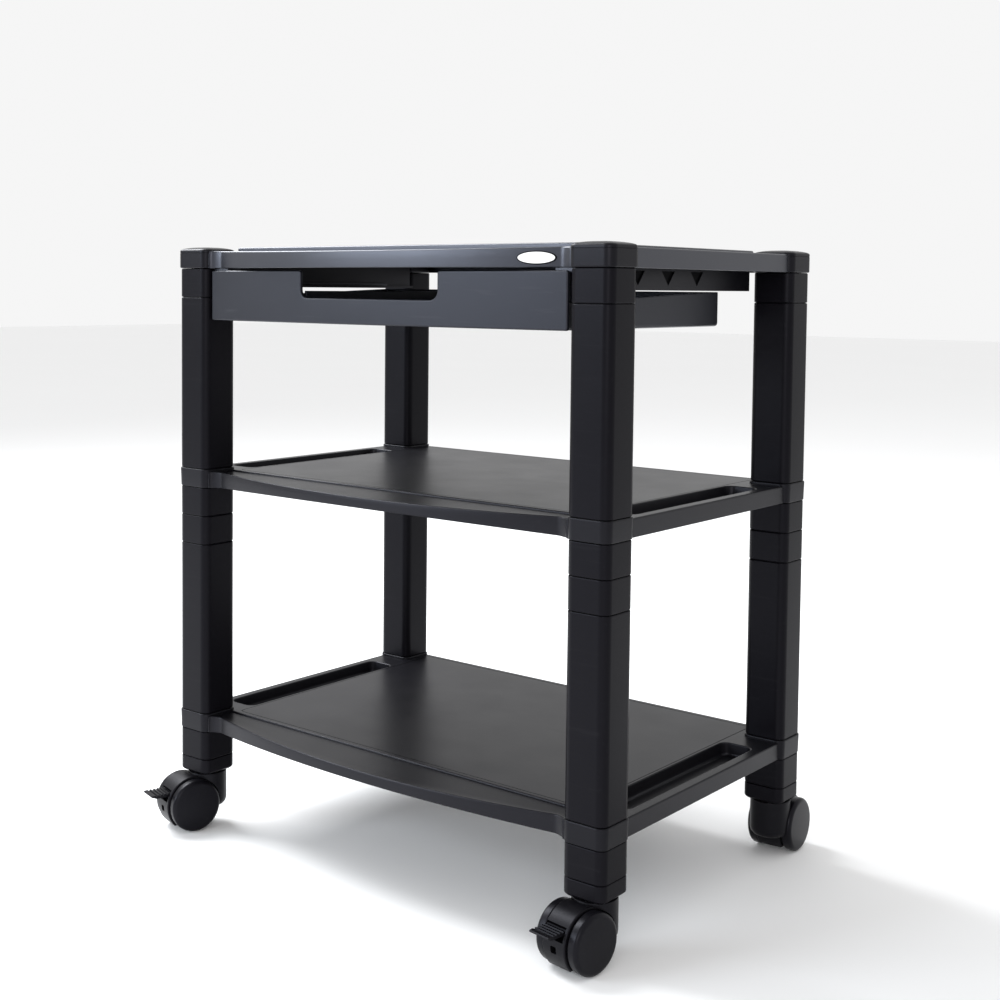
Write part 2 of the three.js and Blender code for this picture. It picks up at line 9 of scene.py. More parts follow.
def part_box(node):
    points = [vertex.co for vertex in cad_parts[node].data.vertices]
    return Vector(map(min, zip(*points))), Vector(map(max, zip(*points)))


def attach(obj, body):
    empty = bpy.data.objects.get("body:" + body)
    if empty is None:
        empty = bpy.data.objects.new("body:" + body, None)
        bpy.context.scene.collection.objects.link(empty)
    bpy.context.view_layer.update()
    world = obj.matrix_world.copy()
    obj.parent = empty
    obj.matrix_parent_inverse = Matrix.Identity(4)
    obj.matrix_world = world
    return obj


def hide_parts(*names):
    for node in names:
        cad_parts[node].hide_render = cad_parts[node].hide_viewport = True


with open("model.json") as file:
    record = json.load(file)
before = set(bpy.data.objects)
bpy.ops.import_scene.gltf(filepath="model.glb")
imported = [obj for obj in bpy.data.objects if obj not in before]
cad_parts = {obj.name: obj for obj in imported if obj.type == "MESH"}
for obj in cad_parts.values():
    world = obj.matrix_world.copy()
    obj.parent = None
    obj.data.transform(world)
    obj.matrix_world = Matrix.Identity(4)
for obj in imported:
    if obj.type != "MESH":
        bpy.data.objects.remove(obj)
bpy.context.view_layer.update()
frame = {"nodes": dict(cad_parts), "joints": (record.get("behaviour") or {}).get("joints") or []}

# Lengths below are millimetres in the stand's own frame: its middle on the Z axis, its front towards -Y.
MM = 0.001
LEG_NAMES = ("front_left", "front_right", "rear_left", "rear_right")
BRAKED = ("front_left", "front_right")
corner_a = sum(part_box("lower_tube_front_left"), Vector()) / 2
corner_b = sum(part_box("lower_tube_rear_right"), Vector()) / 2
MIDDLE = (corner_a + corner_b) / 2 / MM
MIDDLE.z = 0


def level(node, top=False):
    """Height of a node's underside or top, in millimetres."""
    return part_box(node)[1 if top else 0].z / MM


def leg_place(name):
    """Middle of a leg in the stand's own frame, in millimetres."""
    lo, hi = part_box("lower_tube_" + name)
    return ((lo + hi) / 2 / MM) - MIDDLE


# ---------------------------------------------------------------- materials


# Tints of a plastic's reflections.
PLAIN = (1.0, 1.0, 1.0)
COOL = (0.88, 0.88, 1.0)
BLUE = (0.82, 0.85, 1.0)

# Slow changes of tone, and the width of the streaks that scuffs follow.
SLOW_SCALE = 18.0
STREAK_SCALE = (14.0, 420.0, 260.0)
STREAK_TURN = (0.3, 0.5, 0.4)
BUMP_HEIGHT = 0.0002


def plastic(name, colour, roughness, grain=2600.0, bump=0.10, mottle=0.06, scuff=0.25, shine=0.3,
            tint=COOL):
    """Moulded plastic: a fine moulded grain, a slow change of tone and gloss, and faint scuffs."""
    mat = bpy.data.materials.new(name)
    mat.use_nodes = True
    nodes, links = mat.node_tree.nodes, mat.node_tree.links
    shader = nodes["Principled BSDF"]
    coords = nodes.new("ShaderNodeTexCoord")

    slow = nodes.new("ShaderNodeTexNoise")
    slow.inputs["Scale"].default_value = SLOW_SCALE
    slow.inputs["Detail"].default_value = 4.0
    links.new(coords.outputs["Object"], slow.inputs["Vector"])

    fine = nodes.new("ShaderNodeTexNoise")
    fine.inputs["Scale"].default_value = grain
    fine.inputs["Detail"].default_value = 2.0
    links.new(coords.outputs["Object"], fine.inputs["Vector"])

    stretch = nodes.new("ShaderNodeMapping")
    stretch.inputs["Scale"].default_value = STREAK_SCALE
    stretch.inputs["Rotation"].default_value = STREAK_TURN
    links.new(coords.outputs["Object"], stretch.inputs["Vector"])
    streaks = nodes.new("ShaderNodeTexNoise")
    streaks.inputs["Scale"].default_value = 1.0
    streaks.inputs["Detail"].default_value = 6.0
    links.new(stretch.outputs["Vector"], streaks.inputs["Vector"])
    worn = nodes.new("ShaderNodeMapRange")
    worn.inputs["From Min"].default_value = 0.60
    worn.inputs["From Max"].default_value = 0.78
    links.new(streaks.outputs["Fac"], worn.inputs["Value"])

    dark = tuple(c * (1 - mottle) for c in colour)
    light = tuple(min(1.0, c * (1 + mottle)) for c in colour)
    tone = nodes.new("ShaderNodeMix")
    tone.data_type = "RGBA"
    tone.inputs[6].default_value = (*dark, 1)
    tone.inputs[7].default_value = (*light, 1)
    links.new(slow.outputs["Fac"], tone.inputs[0])
    rubbed = nodes.new("ShaderNodeMix")
    rubbed.data_type = "RGBA"
    rubbed.inputs[7].default_value = (*(min(1.0, c * 1.5 + 0.01) for c in colour), 1)
    links.new(tone.outputs[2], rubbed.inputs[6])
    amount = nodes.new("ShaderNodeMath")
    amount.operation = "MULTIPLY"
    amount.inputs[1].default_value = scuff
    links.new(worn.outputs["Result"], amount.inputs[0])
    links.new(amount.outputs["Value"], rubbed.inputs[0])
    links.new(rubbed.outputs[2], shader.inputs["Base Color"])

    gloss = nodes.new("ShaderNodeMapRange")
    gloss.inputs["From Min"].default_value = 0.3
    gloss.inputs["From Max"].default_value = 0.7
    gloss.inputs["To Min"].default_value = roughness - 0.02
    gloss.inputs["To Max"].default_value = roughness + 0.02
    links.new(slow.outputs["Fac"], gloss.inputs["Value"])
    rougher = nodes.new("ShaderNodeMath")
    rougher.operation = "MULTIPLY_ADD"
    rougher.inputs[1].default_value = 0.12
    links.new(amount.outputs["Value"], rougher.inputs[0])
    links.new(gloss.outputs["Result"], rougher.inputs[2])
    links.new(rougher.outputs["Value"], shader.inputs["Roughness"])

    relief = nodes.new("ShaderNodeBump")
    relief.inputs["Strength"].default_value = bump
    relief.inputs["Distance"].default_value = BUMP_HEIGHT
    links.new(fine.outputs["Fac"], relief.inputs["Height"])
    links.new(relief.outputs["Normal"], shader.inputs["Normal"])
    shader.inputs["Specular IOR Level"].default_value = shine
    shader.inputs["Specular Tint"].default_value = (*tint, 1)
    return mat


def metal(name, colour, roughness):
    """Plain steel with fine turning marks."""
    mat = plastic(name, colour, roughness, grain=900.0, bump=0.15, scuff=0.4, tint=PLAIN)
    mat.node_tree.nodes["Principled BSDF"].inputs["Metallic"].default_value = 1.0
    return mat


LEG_BLACK = plastic("leg_black", (0.0034, 0.0031, 0.0043), 0.33, bump=0.12, shine=0.08)
COLLAR_BLACK = plastic("collar_black", (0.0042, 0.0040, 0.0052), 0.34, bump=0.12, shine=0.13)
SHELF_BLACK = plastic("shelf_black", (0.0050, 0.0048, 0.0062), 0.35, bump=0.16, shine=0.18)
TOP_BLACK = plastic("top_black", (0.0085, 0.0090, 0.0118), 0.33, bump=0.14, mottle=0.12, scuff=0.4,
                    shine=0.60, tint=BLUE)
DRAWER_BLACK = plastic("drawer_black", (0.0066, 0.0070, 0.0094), 0.35, bump=0.14, mottle=0.20, scuff=0.5,
                       shine=0.32, tint=BLUE)
CASTER_BLACK = plastic("caster_black", (0.0038, 0.0036, 0.0046), 0.38, bump=0.10, shine=0.12)
WHEEL_BLACK = plastic("wheel_black", (0.0034, 0.0032, 0.0044), 0.32, bump=0.05, scuff=0.3, shine=0.13)
# Near-black for the seam rings and the badge's border, and as painted shade on the sheets at the rail
# notches' floors.
SEAM_AND_SHADE_BLACK = plastic("seam_black", (0.0015, 0.0015, 0.0017), 0.6, shine=0.05)
BADGE_WHITE = plastic("badge_white", (0.80, 0.80, 0.79), 0.30, bump=0.03, mottle=0.02, scuff=0.1,
                      tint=PLAIN)
STEEL = metal("steel", (0.62, 0.62, 0.64), 0.28)

# ---------------------------------------------------------------- outlines


def rounded_rect(x0, x1, y0, y1, radius, steps=6):
    """Points round a rectangle with rounded corners, anticlockwise."""
    points = []
    for cx, cy, start in ((x1, y1, 0), (x0, y1, 90), (x0, y0, 180), (x1, y0, 270)):
        mx = cx - radius if cx == x1 else cx + radius
        my = cy - radius if cy == y1 else cy + radius
        for i in range(steps + 1):
            a = math.radians(start + 90 * i / steps)
            points.append((mx + radius * math.cos(a), my + radius * math.sin(a)))
    return points


def circle(radius, count):
    """Points round a circle, anticlockwise."""
    turns = [2 * math.pi * i / count for i in range(count)]
    return [(radius * math.cos(a), radius * math.sin(a)) for a in turns]


def square(half, radius, steps=6):
    """A rounded square about the origin."""
    return rounded_rect(-half, half, -half, half, radius, steps)


def inset(points, depth):
    """The closed outline moved inwards by depth; its points run anticlockwise."""
    if abs(depth) < 1e-9:
        return list(points)
    moved = []
    count = len(points)
    for i, (x, y) in enumerate(points):
        ax, ay = points[i - 1]
        bx, by = points[(i + 1) % count]
        d1 = Vector((x - ax, y - ay)).normalized()
        d2 = Vector((bx - x, by - y)).normalized()
        n1, n2 = Vector((-d1.y, d1.x)), Vector((-d2.y, d2.x))
        mid = (n1 + n2).normalized()
        reach = depth / max(0.35, mid.dot(n1))
        moved.append((x + mid.x * reach, y + mid.y * reach))
    return moved


def arc_radius(half, rise):
    """Radius of an arc from half its chord and its rise."""
    return (half * half + rise * rise) / (2 * rise)


def bow(half, end, rise, steps=48):
    """Points along a bowed front, left to right."""
    radius = arc_radius(half, rise)
    angle = math.asin(half / radius)
    points = []
    for i in range(steps + 1):
        turn = angle * (2 * i / steps - 1)
        points.append((radius * math.sin(turn), radius - end - rise - radius * math.cos(turn)))
    return points


# ---------------------------------------------------------------- solids


def make(name, bm):
    """Turns a bmesh into an object with its faces outwards."""
    bmesh.ops.recalc_face_normals(bm, faces=bm.faces[:])
    mesh = bpy.data.meshes.new(name)
    bm.to_mesh(mesh)
    bm.free()
    obj = bpy.data.objects.new(name, mesh)
    bpy.context.scene.collection.objects.link(obj)
    return obj


def loft(name, loops):
    """A closed solid through loops of equal length, capped at both ends."""
    bm = bmesh.new()
    rings = [[bm.verts.new(p) for p in loop] for loop in loops]
    count = len(loops[0])
    for low, high in zip(rings, rings[1:]):
        for i in range(count):
            j = (i + 1) % count
            bm.faces.new((low[i], low[j], high[j], high[i]))
    bm.faces.new(list(reversed(rings[0])))
    bm.faces.new(rings[-1])
    return make(name, bm)


def rise(outline, stations):
    """Loops of an outline at (height, inset) stations."""
    return [[(x, y, z) for x, y in inset(outline, d)] for z, d in stations]


def rounding(radius, z, upwards, steps=3):
    """(height, inset) stations of a rounded edge that ends at height z."""
    out = []
    for i in range(steps + 1):
        a = math.pi / 2 * i / steps
        out.append((z - upwards * radius * (1 - math.sin(a)), radius * (1 - math.cos(a))))
    return out


def slab(name, outline, z0, z1, low=0.6, high=0.6):
    """An upright solid with rounded edges below and above."""
    stations = list(reversed(rounding(low, z0, -1))) + rounding(high, z1, 1)
    return loft(name, rise(outline, stations))


def brick(name, x0, x1, y0, y1, z0, z1, edge=0.4):
    """A box with every edge rounded."""
    return slab(name, rounded_rect(x0, x1, y0, y1, edge + 0.2, 3), z0, z1, edge, edge)


def prism_y(name, outline, y0, y1):
    """An outline in X and Z run along Y."""
    return loft(name, [[(x, y, z) for x, z in outline] for y in (y0, y1)])


def prism_x(name, outline, x0, x1):
    """An outline in Y and Z run along X."""
    return loft(name, [[(x, y, z) for y, z in outline] for x in (x0, x1)])


def lathe(name, profile, sides=72, closed=False):
    """A profile of (radius, along) turned about the X axis. A radius of zero closes it on the axis."""
    bm = bmesh.new()
    rings = []
    for radius, along in profile:
        if radius < 1e-6:
            rings.append([bm.verts.new((along, 0, 0))])
            continue
        rings.append([bm.verts.new((along, y, z)) for y, z in circle(radius, sides)])
    pairs = list(zip(rings, rings[1:]))
    if closed:
        pairs.append((rings[-1], rings[0]))
    for a, b in pairs:
        for i in range(sides):
            j = (i + 1) % sides
            if len(a) == 1 and len(b) == 1:
                continue
            if len(a) == 1:
                bm.faces.new((a[0], b[j], b[i]))
            elif len(b) == 1:
                bm.faces.new((a[i], a[j], b[0]))
            else:
                bm.faces.new((a[i], a[j], b[j], b[i]))
    return make(name, bm)


def combine(target, tool, operation):
    """Adds a solid to another or cuts it away, then drops the tool."""
    step = target.modifiers.new("step", "BOOLEAN")
    step.operation = operation
    step.solver = "EXACT"
    step.object = tool
    graph = bpy.context.evaluated_depsgraph_get()
    made = bpy.data.meshes.new_from_object(target.evaluated_get(graph))
    target.modifiers.clear()
    target.data = made
    bpy.data.objects.remove(tool)
    return target


def cut(target, *tools):
    """Cuts each tool away from the target."""
    for tool in tools:
        combine(target, tool, "DIFFERENCE")
    return target


def join(target, *tools):
    """Adds each tool to the target."""
    for tool in tools:
        combine(target, tool, "UNION")
    return target


def shift(obj, x, y, z):
    """Moves a solid's own mesh."""
    obj.data.transform(Matrix.Translation((x, y, z)))
    return obj


def piece(obj, name, body, nodes, material, edge=0.0, smooth=38):
    """Places a solid made in millimetres in the row frame, hangs it under its body and hides the CAD parts
    it stands for.
    """
    obj.name = name
    mesh = obj.data
    mesh.transform(Matrix.Translation(MIDDLE))
    mesh.transform(Matrix.Scale(MM, 4))
    mesh.materials.clear()
    mesh.materials.append(material)
    for polygon in mesh.polygons:
        polygon.use_smooth = True
        polygon.material_index = 0
    if edge:
        soft = obj.modifiers.new("edge", "BEVEL")
        soft.width = edge * MM
        soft.segments = 2
        soft.limit_method = "ANGLE"
        soft.angle_limit = math.radians(40)
        soft.use_clamp_overlap = True
        graph = bpy.context.evaluated_depsgraph_get()
        made = bpy.data.meshes.new_from_object(obj.evaluated_get(graph))
        obj.modifiers.clear()
        obj.data = mesh = made
    mesh.set_sharp_from_angle(angle=math.radians(smooth))
    flat = obj.modifiers.new("flat_faces", "WEIGHTED_NORMAL")
    flat.keep_sharp = True
    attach(obj, body)
    if nodes:
        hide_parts(*nodes)
    return obj


# ---------------------------------------------------------------- legs

LEG_HALF, LEG_R = 20.0, 8.0
SEAM = 0.3
SEAM_RING_HALF, SEAM_RING_R = 18.6, 6.6


def build_leg(name):
    """A leg's seven stacked sections, with a recessed ring at each seam."""
    at = leg_place(name)
    levels = [
        ("foot_socket", level("foot_socket_" + name), level("bottom_spacer_" + name)),
        ("bottom_spacer", level("bottom_spacer_" + name), level("bottom_shelf")),
        ("lower_tube", level("lower_tube_" + name), level("lower_spacer_" + name)),
        ("lower_spacer", level("lower_spacer_" + name), level("middle_spacer_" + name)),
        ("middle_spacer", level("middle_spacer_" + name), level("middle_shelf")),
        ("upper_tube", level("upper_tube_" + name), level("top_spacer_" + name)),
        ("top_spacer", level("top_spacer_" + name), level("top_shelf")),
    ]
    for kind, z0, z1 in levels:
        outline = square(LEG_HALF, LEG_R)
        top = z1 - SEAM
        if kind == "foot_socket":
            stations = [(z0, 3.4), (z0, 2.4), (z0 + 0.3, 1.9), (z0 + 1.8, 0.3), (z0 + 2.4, 0)]
            stations += rounding(1.2, top, 1)
        else:
            stations = list(reversed(rounding(0.9, z0, -1))) + rounding(1.2, top, 1)
        solid = loft(kind, rise(outline, stations))
        shift(solid, at.x, at.y, 0)
        piece(solid, f"{kind}_{name}_visual", "frame", [f"{kind}_{name}"], LEG_BLACK)
        if kind != "foot_socket":
            ring = slab("seam", square(SEAM_RING_HALF, SEAM_RING_R), z0 - 0.9, z0 + 0.6, 0.1, 0.1)
            shift(ring, at.x, at.y, 0)
            piece(ring, f"{kind}_{name}_seam", "frame", [], SEAM_AND_SHADE_BLACK)


for leg in LEG_NAMES:
    build_leg(leg)

# ---------------------------------------------------------------- shelves

RIM_X, RIM_BACK, RIM_FRONT, RIM_BOW, RIM_HALF = 248.5, 165.0, 158.0, 25.0, 205.0
PANEL_FRONT = -136.0
NOTCH_X, NOTCH_Y = 225.0, 135.3          # where the plate stops short of a collar
COLLAR, COLLAR_R, COLLAR_TOP = 21.0, 8.0, 17.9
SHELF_TOP, TROUGH_DEEP, SHELF_WALL = 15.7, 12.0, 3.0
TROUGH_IN, TROUGH_OUT, TROUGH_FRONT, TROUGH_BACK, TROUGH_R = 207.5, 238.5, -112.0, 100.0, 8.0
PLATE_TOP, DECK_TOP, DECK_X, DECK_BACK = 16.4, 20.5, 203.0, 150.0
GROOVE_X, GROOVE_BACK, GROOVE_WIDE, GROOVE_DEEP = 204.4, 158.4, 0.8, 0.5
COLLAR_SIDE = 211.0                      # where the rim meets the collar
CREASE_X = 200.0                         # where the bow breaks off into the fillet
FILLET = 5.5
RIB_OUT, RIB_FRONT = 212.5, -157.5


def rim_path(steps=56):
    """The front face of a bowed rim. Near each leg it breaks off into a hollow fillet up to the collar."""
    points = [(x, y) for x, y in bow(RIM_HALF, RIM_FRONT, RIM_BOW, steps) if abs(x) < CREASE_X - 2]
    radius = arc_radius(RIM_HALF, RIM_BOW)
    crease_y = radius - RIM_FRONT - RIM_BOW - math.sqrt(radius ** 2 - CREASE_X ** 2)
    start = math.radians(35)
    right = []
    for i in range(9):
        a = start + (math.pi / 2 - start) * i / 8
        across = (math.sin(a) - math.sin(start)) / (1 - math.sin(start))
        along = (math.cos(start) - math.cos(a)) / math.cos(start)
        right.append((CREASE_X + (COLLAR_SIDE - CREASE_X) * across, crease_y - FILLET * along))
    right.append((COLLAR_SIDE + 3, crease_y - FILLET))
    left = [(-x, y) for x, y in reversed(right)]
    return left + points + right


def front_rim(name, z_bottom, z_rise, z_top, z_dip, panel_z, ramp_low):
    """The bowed front of a shelf: its face, a chamfered lip, and the sloping floor back to the panel."""
    loops = []
    for x, y in rim_path():
        share = max(0.0, 1 - (x / RIM_HALF) ** 2)
        low = z_bottom + z_rise * share
        top = z_top - z_dip * share
        back = PANEL_FRONT + 2.5
        floor = min(top - 1.2, panel_z - ramp_low)
        section = [
            (y + 2.8, low + 0.5),
            (y + 2.3, low),
            (y + 0.7, low),
            (y + 0.2, low + 0.5),
            (y + 0.1, (low + top) / 2),
            (y + 0.35, top - 1.1),
            (y + 0.75, top - 0.45),
            (y + 1.2, top - 0.1),
            (y + 1.7, top),
            (y + 2.7, top),
            (y + 3.2, top - 0.15),
            (y + 3.7, top - 0.7),
            (y + 4.6, floor),
            (y + 6.0, floor - 0.15),
            (min(back - 4.0, y + 14), floor - 0.1),
            (back - 3.4, panel_z - 1.6),
            (back, panel_z - 1.6),
            (back, panel_z - 3.2),
            (y + 3.0, min(floor - 2.0, panel_z - 3.2 - ramp_low)),
        ]
        loops.append([(x, sy, sz) for sy, sz in section])
    return loft(name, loops)


def plate_outline(front):
    """A shelf's plate without the four corners that the collars fill."""
    cx, cy = NOTCH_X, NOTCH_Y
    return [
        (-cx, front), (cx, front), (cx, -cy), (RIM_X, -cy), (RIM_X, cy), (cx, cy),
        (cx, RIM_BACK), (-cx, RIM_BACK), (-cx, cy), (-RIM_X, cy), (-RIM_X, -cy), (-cx, -cy),
    ]


def collar(name, z0, z1):
    """An open collar, flared a little towards its top."""
    outline = square(COLLAR - 0.25, COLLAR_R, 8)
    stations = [(z0, 1.2), (z0 + 0.25, 0.8), (z0 + 0.9, 0.5), ((z0 + z1) / 2, 0.28)]
    stations += [(z1 - 1.2, 0.0), (z1 - 0.45, 0.25), (z1 - 0.1, 0.7), (z1, 1.3)]
    return loft(name, rise(outline, stations))


def trough_outline(side):
    """A pen trough seen from above."""
    x0, x1 = sorted((side * TROUGH_IN, side * TROUGH_OUT))
    return rounded_rect(x0, x1, TROUGH_FRONT, TROUGH_BACK, TROUGH_R, 7)


def trough(name, side, panel_z, depth):
    """A pen trough's pan: closed outside, open above, with a soft lip."""
    outline = trough_outline(side)
    floor = panel_z - depth
    stations = [
        (floor - 1.8, 1.5), (floor - 1.6, -0.2), (floor, -1.6), (panel_z - 1.4, -1.8),
        (panel_z + 0.02, -1.7), (panel_z + 0.05, -1.1), (panel_z - 0.25, -0.45), (panel_z - 0.9, 0.0),
        (floor + 3.0, 0.5), (floor + 1.2, 1.1), (floor + 0.3, 2.2), (floor, 3.8),
    ]
    return loft(name, rise(outline, stations))


def trough_hole(side):
    """The tool that opens a shelf's plate for a trough."""
    return loft("hole", rise(trough_outline(side), [(-5, -1.5), (40, -1.5)]))


def hollow(top, front):
    """The tool that hollows a shelf's plate from below."""
    x, back = RIM_X - SHELF_WALL, RIM_BACK - SHELF_WALL
    return loft("hollow", rise([(-x, front), (x, front), (x, back), (-x, back)], [(-5, 0), (top, 0)]))


def panel_groove(top):
    """A fine groove round the flat panel, as a ring-shaped tool."""
    outer = rounded_rect(-GROOVE_X, GROOVE_X, PANEL_FRONT + 5.2, GROOVE_BACK, 5, 4)
    inner = inset(outer, GROOVE_WIDE)
    tool = loft("groove", rise(outer, [(top - GROOVE_DEEP, 0), (top + 2, 0)]))
    core = loft("core", rise(inner, [(top - 2, 0), (top + 3, 0)]))
    return cut(tool, core)


def gap_rib(name, side, z):
    """A short rib beside each front leg that closes the corner behind the drawer's front."""
    low, high, back, thick, edge = z - 5.0, z + 3.0, -128.0, 2.3, 0.4
    near, far = sorted((side * 206.0, side * RIB_OUT))
    along = brick(name, near, far, RIB_FRONT + 0.5, back, low, high, edge)
    near, far = sorted((side * 192.0, side * (RIB_OUT - 0.5)))
    across = brick(name, near, far, RIB_FRONT, RIB_FRONT + thick, low + 0.2, high - 0.2, edge)
    return join(along, across)


def build_lower_shelf(node):
    """A shelf with its bowed rim, two pen troughs and four open collars."""
    z = level(node)
    top = SHELF_TOP
    plate = slab(node + "_plate", plate_outline(PANEL_FRONT), 0, top, 0.6, 1.5)
    cut(plate, hollow(top - SHELF_WALL, PANEL_FRONT - 5), trough_hole(-1), trough_hole(1), panel_groove(top))
    shift(plate, 0, 0, z)
    piece(plate, node + "_plate", "frame", [node], SHELF_BLACK)
    rim = front_rim(node + "_rim", 0, 4.7, top, 1.6, top, 2.6)
    shift(rim, 0, 0, z)
    piece(rim, node + "_rim", "frame", [node], SHELF_BLACK)
    for side, word in ((-1, "left"), (1, "right")):
        pan = trough(node + "_trough_" + word, side, top, TROUGH_DEEP)
        shift(pan, 0, 0, z)
        piece(pan, f"{node}_trough_{word}", "frame", [node], SHELF_BLACK)
    for name in LEG_NAMES:
        at = leg_place(name)
        ring = collar("collar", 0, COLLAR_TOP)
        shift(ring, at.x, at.y, z)
        piece(ring, f"{node}_collar_{name}", "frame", [node], COLLAR_BLACK)


# A corner cap from its foot up, as (height, inset): its side, the fine line round it, and its dome.
CAP_SIDE = [(0, 1.3), (0.1, 0.7), (0.5, 0.25), (1.3, 0.0), (14.6, 0.0)]
CAP_LINE = [(14.75, 0.35), (15.0, 0.35), (15.15, 0.0), (16.6, 0.0)]
CAP_DOME = [(17.5, 0.35), (18.3, 1.3), (18.9, 3.0), (19.5, 6.0), (20.0, 9.5), (20.3, 13.0), (20.4, 15.5)]


def build_top_shelf(node):
    """The top shelf: its plate, the raised deck, the bowed rim and four domed caps."""
    z = level(node)
    top, deck = PLATE_TOP, DECK_TOP
    plate = slab(node + "_plate", plate_outline(PANEL_FRONT), 0, top, 0.6, 1.5)
    cut(plate, hollow(top - SHELF_WALL, PANEL_FRONT - 5))
    shift(plate, 0, 0, z)
    piece(plate, node + "_plate", "frame", [node], TOP_BLACK)
    outline = rounded_rect(-DECK_X, DECK_X, PANEL_FRONT, DECK_BACK, 3, 4)
    raised = slab(node + "_deck", outline, top - 1, deck, 0.2, 1.6)
    shift(raised, 0, 0, z)
    piece(raised, node + "_deck", "frame", [node], TOP_BLACK)
    for side, word in ((-1, "left"), (1, "right")):
        piece(gap_rib("rib", side, z), f"{node}_rib_{word}", "frame", [node], TOP_BLACK)
    rim = front_rim(node + "_rim", 0, 0.0, top, 1.6, top, 1.4)
    shift(rim, 0, 0, z)
    piece(rim, node + "_rim", "frame", [node], TOP_BLACK)
    for name in LEG_NAMES:
        at = leg_place(name)
        cap = loft("cap", rise_square(CAP_SIDE + CAP_LINE + CAP_DOME))
        shift(cap, at.x, at.y, z)
        piece(cap, f"{node}_cap_{name}", "frame", [node], COLLAR_BLACK)


def rise_square(stations, half=COLLAR, radius=8.0):
    """Loops of a rounded square that keeps its corners soft however far it is inset."""
    loops = []
    for z, d in stations:
        loops.append([(x, y, z) for x, y in square(half - d, max(2.5, radius - d * 0.5), 8)])
    return loops


build_lower_shelf("bottom_shelf")
build_lower_shelf("middle_shelf")
build_top_shelf("top_shelf")

# ---------------------------------------------------------------- the badge: blank, with a thin dark border

BADGE_NUDGE = 5.5                        # how far the badge sits to the left of its CAD plate
BADGE_RADIUS = (17.2, 5.5)
BADGE_FACE = (16.3, 4.6)
lo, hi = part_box("badge_plate")
badge_mid = (lo + hi) / 2 / MM - MIDDLE
RADIUS = arc_radius(RIM_HALF, RIM_BOW)
badge_mid.x -= BADGE_NUDGE
turn = math.asin(badge_mid.x / RADIUS)
badge_mid.y = RADIUS - RIM_FRONT - RIM_BOW - (RADIUS + 0.45) * math.cos(turn)


def oval(a, b, count=48):
    """Points round an oval."""
    return [(a * x, b * z) for x, z in circle(1.0, count)]


def badge_part(name, a, b, stations):
    """An oval disc turned square to the rim, through (distance out of the rim, inset) stations."""
    loops = [[(x, -out, z) for x, z in oval(a - d, b - d)] for out, d in stations]
    obj = loft(name, loops)
    obj.data.transform(Matrix.Translation(badge_mid) @ Matrix.Rotation(turn, 4, "Z"))
    return obj


piece(badge_part("base", *BADGE_RADIUS, [(-0.45, 0.0), (0.05, 0.0), (0.2, 0.15)]),
      "badge_border", "frame", ["badge_plate"], SEAM_AND_SHADE_BLACK)
piece(badge_part("face", *BADGE_FACE, [(-0.3, 0.0), (0.2, 0.0), (0.36, 0.12), (0.44, 0.4)]),
      "badge_face", "frame", ["badge_plate"], BADGE_WHITE)

# ---------------------------------------------------------------- drawer

lo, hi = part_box("drawer")
DRAWER_Z0, DRAWER_Z1 = lo.z / MM, hi.z / MM
FRONT_X, FRONT_END, FRONT_BOW, FRONT_T = 208.5, 163.5, 8.0, 3.5
SIDE_X, DRAWER_BACK, WALL = 204.0, hi.y / MM - MIDDLE.y, 2.4
SIDE_TOP, BACK_TOP = 551.5, 532.0
PULL_X, PULL_Z, PULL_R = 80.5, 523.6, 8.0
TRAY_FRONT, TRAY_R = -161.5, 4.0
FRONT_SOFT, PULL_LIP = 2.0, 2.5
DIVIDER_X, DIVIDER_TOP, DIVIDER_HALF = 84.0, 530.0, 1.2
LIP_IN, LIP_OUT, LIP_LOW, LIP_HIGH = 203.5, 208.4, 535.8, 538.2      # runs along the side, on the rail
GUSSET_IN, GUSSET_OUT, GUSSET_BACK = 203.2, 207.6, -149.0            # closes the corner behind the front
STRIP = 8.0                              # width of the strips that the front is bowed in


def corner(cx, cz, radius, start, end, steps=6):
    """Points of an arc in X and Z, from one angle to another in degrees."""
    angles = [math.radians(start + (end - start) * i / steps) for i in range(steps + 1)]
    return [(cx + radius * math.cos(a), cz + radius * math.sin(a)) for a in angles]


def front_outline():
    """The drawer's front seen square on, with the cut-out in its upper edge that serves as a pull."""
    soft, lip, low = FRONT_SOFT, PULL_LIP, PULL_Z + PULL_R
    z0, z1 = DRAWER_Z0, DRAWER_Z1
    points = corner(-FRONT_X + soft, z0 + soft, soft, 180, 270)
    points += corner(FRONT_X - soft, z0 + soft, soft, 270, 360)
    points += corner(FRONT_X - soft, z1 - soft, soft, 0, 90)
    points += corner(PULL_X + lip, z1 - lip, lip, 90, 180)
    points += corner(PULL_X - PULL_R, low, PULL_R, 0, -90, 10)
    points += corner(-PULL_X + PULL_R, low, PULL_R, -90, -180, 10)
    points += corner(-PULL_X - lip, z1 - lip, lip, 0, 90)
    points += corner(-FRONT_X + soft, z1 - soft, soft, 90, 180)
    return points


def build_drawer_front():
    """A flat front with a soft edge all round, cut into upright strips and then bowed."""
    stations = [(0.0, 1.5), (0.15, 0.85), (0.5, 0.35), (1.0, 0.08), (1.5, 0.0)]
    stations += [(2.6, 0.0), (3.2, 0.25), (FRONT_T, 0.9)]
    loops = [[(x, depth, z) for x, z in inset(front_outline(), d)] for depth, d in stations]
    solid = loft("drawer_front", loops)
    bm = bmesh.new()
    bm.from_mesh(solid.data)
    for i in range(-25, 26):
        geom = bm.verts[:] + bm.edges[:] + bm.faces[:]
        at = (i * STRIP + 0.37, 0, 0)
        bmesh.ops.bisect_plane(bm, geom=geom, dist=1e-4, plane_co=at, plane_no=(1, 0, 0))
    radius = arc_radius(FRONT_X, FRONT_BOW)
    for vert in bm.verts:
        vert.co.y += radius - FRONT_END - FRONT_BOW - math.sqrt(radius ** 2 - vert.co.x ** 2)
    bmesh.ops.recalc_face_normals(bm, faces=bm.faces[:])
    bm.to_mesh(solid.data)
    bm.free()
    return solid


